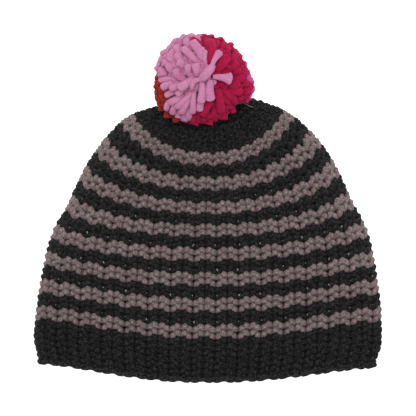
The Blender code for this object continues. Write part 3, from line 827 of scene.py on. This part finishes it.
# The strands that can be told apart from above, laid over the others from the tie outwards.
# Each row: where it comes up and where it is cut, as x and y from the ball's middle in mm, its
# width in mm, flare, how much wider its cut end is, tuck, how deep its other end lies in mm, and
# lift, how far it stands above its neighbours in mm.
LAID_STRANDS = {
    "rose": [
        (-1.1, 12.3, -7.8, 25.7, 6.3, 1.00, 5, 1.6),
        (0.3, 13.9, -1.8, 21.5, 3.9, 1.05, 5, 0.6),
        (1.3, 8.9, 0.5, 19.6, 3.6, 1.00, 4, 1.0),
        (-3.8, 10.0, -14.8, 21.6, 5.3, 0.88, 5, 1.4),
        (-9.1, 22.0, -13.6, 28.6, 5.8, 1.02, 6, 0.8),
        (-11.9, 26.6, -16.2, 30.3, 5.4, 1.00, 6, 0.0),
        (-8.1, 26.9, -9.1, 31.7, 5.3, 1.00, 6, 0.0),
        (-16.9, 23.4, -21.3, 28.2, 5.6, 1.00, 6, 0.2),
        (-18.7, 19.4, -22.0, 24.7, 5.1, 1.05, 7, 0.8),
        (-16.2, 16.8, -19.9, 22.4, 5.3, 1.00, 7, 0.6),
        (-21.9, 18.0, -25.8, 22.6, 5.1, 1.05, 7, 0.4),
        (-25.4, 15.9, -29.7, 19.8, 5.0, 1.05, 7, 0.4),
        (-21.1, 10.5, -24.5, 15.8, 5.8, 1.00, 7, 0.8),
        (-15.5, 11.1, -18.7, 17.2, 5.7, 1.00, 6, 0.9),
        (-26.5, 9.5, -31.2, 14.5, 5.8, 1.02, 7, 0.4),
        (-2.9, 26.4, -3.7, 31.1, 5.0, 1.00, 6, 0.0),
        (-10.6, 25.8, -12.7, 30.5, 5.2, 1.00, 6, 0.0),
        (-14.9, 23.6, -18.2, 28.5, 5.2, 1.00, 6, 0.0),
        (-19.6, 21.0, -23.4, 25.1, 5.2, 1.00, 6, 0.0),
        (-23.2, 16.8, -27.8, 20.4, 5.2, 1.00, 6, 0.0),
        (-26.6, 12.6, -31.2, 15.7, 5.0, 1.00, 6, 0.0),
        (-28.6, 8.0, -33.4, 10.8, 4.6, 1.00, 6, 0.0),
        (-12.6, 6.5, -18.2, 12.1, 5.6, 1.05, 9, 1.6),
        (-10.8, 1.9, -11.7, 9.8, 5.0, 0.98, 6, 1.4),
        (-4.8, 1.5, -6.3, 10.2, 5.7, 1.05, 5, 2.0),
        (-21.5, 4.1, -25.5, 9.7, 5.4, 1.02, 7, 0.8),
        (-16.2, -0.6, -20.3, 6.5, 5.3, 1.00, 6, 1.0),
        (-26.4, 2.7, -31.3, 7.4, 5.3, 1.02, 6, 0.6),
        (-30.7, 5.0, -34.3, 8.6, 4.3, 1.00, 6, 0.0),
        (-19.7, -0.4, -31.3, -1.1, 3.8, 1.05, 5, 0.6),
        (-21.1, -2.7, -29.3, -5.9, 4.8, 1.08, 5, 0.8),
        (-16.5, -3.8, -23.6, -6.8, 4.6, 1.05, 4, 1.8),
        (-7.3, 0.8, -17.5, -6.7, 5.7, 1.05, 4, 2.4),
        (-20.1, -9.1, -26.9, -11.7, 4.0, 1.08, 5, 0.6),
        (-14.4, -5.9, -19.1, -11.2, 4.4, 1.05, 4, 0.8),
        (-14.4, -10.8, -24.2, -16.6, 4.8, 1.05, 5, 0.8),
        (-8.4, -8.0, -19.5, -19.8, 4.4, 1.06, 4, 1.3),
        (-8.7, -11.2, -16.0, -23.4, 4.6, 1.08, 4, 1.0),
        (-7.0, -8.0, -8.2, -23.5, 4.1, 1.10, 4, 1.8),
        (-8.7, -19.3, -11.5, -27.6, 4.7, 1.05, 4, 0.5),
        (-15.5, -20.3, -19.2, -25.4, 3.6, 1.05, 4, 0.2),
        (-11.2, -23.1, -14.6, -29.9, 4.6, 1.05, 4, 0.2),
        (-20.6, -17.4, -22.5, -23.6, 4.5, 1.05, 5, 1.6),
        (-24.6, -15.0, -26.8, -20.9, 4.2, 1.05, 5, 1.8),
        (-1.9, -2.4, -2.4, -16.3, 5.4, 1.02, 3, 2.6),
        (-1.4, -12.3, -3.4, -21.8, 5.0, 1.05, 4, 0.8),
        (4.6, -1.0, 4.3, -14.8, 5.6, 1.16, 3, 3.0),
        (4.1, 5.4, 10.8, 18.5, 3.0, 1.80, 3, 5.0),
        (6.1, 1.4, 18.3, -0.2, 4.1, 2.05, 3, 5.0),
    ],
    "crimson": [
        (9.6, -6.6, 11.4, -22.2, 5.8, 1.08, 4, 1.6),
        (12.5, -7.3, 22.1, -15.8, 5.4, 1.08, 4, 1.0),
        (11.4, -9.4, 17.8, -17.0, 4.7, 1.00, 4, 0.4),
        (15.3, -12.9, 19.0, -21.2, 5.0, 1.08, 4, 0.5),
        (25.6, -11.4, 24.3, -17.1, 3.0, 1.00, 4, 0.0),
        (13.9, -20.6, 13.5, -28.5, 5.7, 1.10, 4, 0.2),
        (7.2, -19.2, 6.4, -28.3, 6.0, 1.10, 4, 0.3),
        (5.4, -13.0, -1.4, -24.9, 5.3, 1.05, 4, 0.8),
        (-3.8, -24.2, -7.2, -32.1, 5.1, 1.20, 4, 0.2),
        (0.9, -22.8, 0.0, -31.4, 4.7, 1.20, 4, 0.0),
        (4.0, -23.5, 3.0, -32.1, 5.0, 1.20, 4, 0.2),
        (18.9, -17.7, 20.9, -23.7, 3.8, 1.00, 4, 0.0),
        (4.0, 9.6, 4.7, 26.2, 6.3, 1.00, 4, 1.6),
        (-1.5, 23.8, -8.4, 28.2, 4.6, 1.00, 3, 2.4),
        (1.6, 16.1, 0.9, 29.6, 4.1, 1.00, 5, 0.5),
        (7.7, 20.4, 8.7, 27.4, 5.3, 1.00, 6, 0.6),
        (10.6, 23.3, 11.0, 29.4, 4.7, 1.00, 6, 0.0),
        (0.0, 26.2, -0.4, 31.7, 4.6, 1.00, 6, 0.0),
        (4.4, 26.2, 4.6, 31.1, 4.7, 1.00, 6, 0.0),
        (11.4, 19.0, 14.2, 25.2, 5.4, 1.00, 8, 0.7),
        (9.3, 13.2, 12.1, 19.7, 5.4, 1.00, 7, 1.0),
        (15.7, 18.3, 18.5, 22.9, 5.4, 1.00, 8, 0.6),
        (13.2, 13.3, 16.7, 18.5, 5.6, 1.00, 8, 1.1),
        (17.5, 21.3, 18.8, 25.2, 4.6, 1.00, 6, 0.0),
        (16.7, 11.2, 22.7, 18.1, 5.4, 1.05, 7, 0.7),
        (8.2, 4.7, 15.7, 15.3, 6.4, 1.02, 5, 2.0),
        (20.3, 10.5, 26.0, 15.3, 5.3, 1.00, 7, 0.2),
        (16.7, 6.2, 22.8, 10.8, 5.3, 1.00, 7, 1.0),
        (22.4, 6.5, 28.1, 10.3, 5.3, 1.00, 7, 0.2),
        (19.5, 2.7, 24.8, 5.6, 4.8, 1.00, 8, 0.8),
        (25.2, 2.9, 30.4, 5.9, 4.8, 1.00, 7, 0.1),
        (20.3, -1.6, 26.9, 0.9, 5.4, 1.00, 7, 0.9),
        (16.7, -5.2, 23.8, -4.1, 5.6, 1.00, 6, 1.0),
        (25.2, -3.6, 30.5, -2.8, 4.8, 1.00, 7, 0.2),
        (15.3, -8.0, 25.7, -9.1, 5.4, 1.00, 6, 0.5),
        (22.4, -11.7, 28.5, -13.6, 4.3, 1.00, 6, 0.0),
        (25.4, -12.9, 31.3, -14.9, 4.6, 1.00, 6, 0.0),
    ],
    "rust": [
        (-30.0, -0.7, -33.9, 2.3, 4.6, 1.00, 5, 0.0),
        (-30.0, -5.4, -34.2, -3.1, 4.7, 1.00, 5, 0.0),
        (-29.3, -10.0, -34.0, -8.1, 5.1, 1.00, 5, 0.0),
        (-29.0, -13.2, -34.5, -12.6, 5.4, 1.00, 5, 0.0),
        (-25.7, -12.1, -29.3, -14.6, 4.6, 1.00, 5, 0.0),
        (-28.6, -16.7, -32.8, -17.6, 4.6, 1.00, 5, 0.0),
        (-29.6, -15.6, -31.2, -22.1, 3.8, 1.00, 5, 0.0),
        (-25.1, -21.0, -26.7, -27.1, 4.3, 1.10, 5, 0.0),
        (-20.4, -24.1, -20.0, -30.1, 4.6, 1.10, 5, 0.0),
    ],
    "cerise": [
        (28.1, 0.7, 32.8, 1.8, 4.3, 1.00, 5, 0.0),
        (28.8, -5.7, 33.9, -5.7, 4.0, 1.00, 5, 0.0),
        (28.1, -10.3, 33.1, -11.5, 4.0, 1.00, 5, 0.0),
    ],
}
LAID_STEPS = np.array([0.0, 0.15, 0.32, 0.5, 0.68, 0.84, 0.94, 0.985, 1.0])
LAID_SWELL = np.array([0.70, 0.84, 0.94, 1.0, 1.03, 1.05, 1.06, 1.02, 0.92])
LAID_LEVEL = 0.925  # where their middles lie, as a share of the way out
LAID_SWAY = 0.07  # how far they bend sideways, at most, as a share of their length
LAID_SQUASH = 0.06
LAID_CLEAR = 0.8  # how far their middles stay above the cap, in radii
FARTHEST = 0.985  # the ball falls away no further than at this share of its reach


def ball_height(x, y, lift):
    """Height on the ball, z = c sqrt(1 - (r / a)^2), where a changes with the direction."""
    share = np.hypot(x, y) / (ball_reach(x, y) * LAID_LEVEL + lift)
    return (BALL_UP * LAID_LEVEL + lift) * np.sqrt(1 - np.minimum(share, FARTHEST) ** 2)


def laid_paths(rows):
    """Paths that seen from above are straight but for a half sine of sway. Their height is the
    ball's, less a tuck that fades as (1 - t)^1.3, and they widen as their flare times t^3. None
    goes into the cap."""
    from_x, from_y, to_x, to_y, width, flare, tuck, lift = np.array(rows).T[:, :, None]
    t = LAID_STEPS[None, :]
    sway = chance.uniform(-LAID_SWAY, LAID_SWAY, (len(rows), 1)) * np.sin(math.pi * t)
    x = (from_x + (to_x - from_x) * t - sway * (to_y - from_y)) * MM
    y = (from_y + (to_y - from_y) * t + sway * (to_x - from_x)) * MM
    z = ball_height(x, y, lift * MM) - tuck * MM * (1 - t) ** 1.3 + BALL_MIDDLE[2]
    x, y = x + BALL_MIDDLE[0], y + BALL_MIDDLE[1]
    radius = width / 2 * MM * LAID_SWELL * (1 + (flare - 1) * t**3)
    crown = crown_height(x.ravel(), y.ravel()).reshape(x.shape)
    z = np.maximum(z, crown + LAID_CLEAR * radius)
    return np.stack([x, y, z], axis=-1), radius


for kind in POMPOM_WOOLS:
    paths, radii = laid_paths(LAID_STRANDS[kind])
    heading = paths[:, -1:] - paths[:, :1] + 0 * paths
    ups = np.cross(np.cross(heading, paths - BALL_MIDDLE + (0, 0, BALL_UP)), heading)
    ups /= np.linalg.norm(ups, axis=2, keepdims=True)
    piece = add_strands(f"laid_{kind}", kind, paths, radii, ups, LAID_SQUASH)
    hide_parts("pompom")

# The curl and the fold over the tie.
# Two rose strands weren't cut free: one is bent back on itself like a hook, and one, doubled
# and thick, lies over the tie and hides it.

# Each strand: its width, then points as x and y from the ball's middle and lift, all in mm.
BENT_STRANDS = {
    "bent_strand_1": (
        3.6,
        [
            (-0.6, -1.3, 0.5), (-3.5, -0.7, 2.4), (-6.2, -1.3, 3.2),
            (-8.0, -3.1, 3.2), (-8.7, -5.4, 2.8), (-8.8, -7.7, 1.8),
        ],
    ),
    "bent_strand_2": (
        6.4,
        [
            (6.1, 9.2, -2.0), (5.0, 7.7, 1.2), (3.4, 5.7, 3.4),
            (1.4, 3.4, 4.0), (-0.7, 1.1, 2.6), (-2.5, -0.7, -1.0),
        ],
    ),
}
BENT_SWELL = np.array([0.72, 0.92, 1.0, 1.04, 1.0, 0.9])
for name, (width, places) in BENT_STRANDS.items():
    x, y, lift = np.array(places).T * MM
    outward = np.stack([x, y, ball_height(x, y, lift)], axis=1)[None]
    ups = outward / np.linalg.norm(outward, axis=2, keepdims=True)
    add_strands(name, "rose", BALL_MIDDLE + outward, width / 2 * MM * BENT_SWELL[None], ups)

# The loose yarn end.
# A thin pale thread comes out from under the pompom on the right and lies on the crown.
# The first colour is painted shade; the thread's stored amount of it is zero.
PALE_PAINTED_SHADE = (0.10, 0.085, 0.085)
PALE_DARK = (0.11, 0.092, 0.093)
PALE_PALE = (0.26, 0.222, 0.226)
THREAD_RADIUS = 0.32 * MM
THREAD_ABOVE = 0.6 * MM
# Its course, as x and y from the ball's middle.
THREAD = np.array([(26.0, -15.5), (28.8, -17.0), (31.7, -18.6), (34.7, -19.7)]) * MM
THREAD_POINTS = 16
PALE = wool_material(
    "pale_yarn", PALE_PAINTED_SHADE, PALE_DARK, PALE_PALE, hairs=0.6, hair_scale=900.0,
    patch_scale=200.0, relief=0.1 * MM, sheen=0.05,
)
course = np.linspace(0, len(THREAD) - 1, THREAD_POINTS)
x, y = (BALL_MIDDLE[k] + np.interp(course, range(len(THREAD)), THREAD[:, k]) for k in (0, 1))
path = np.stack([x, y, crown_height(x, y) + THREAD_ABOVE], axis=1)[None]
ups = np.zeros_like(path) + (0.0, 0.0, 1.0)
points, quads, out = tube(path, np.full((1, THREAD_POINTS), THREAD_RADIUS), ups, closed=False)
thread = mesh_piece("loose_yarn_end", points, quads, PALE)
set_painted_shade(thread, 0 * out)
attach(thread, "root")
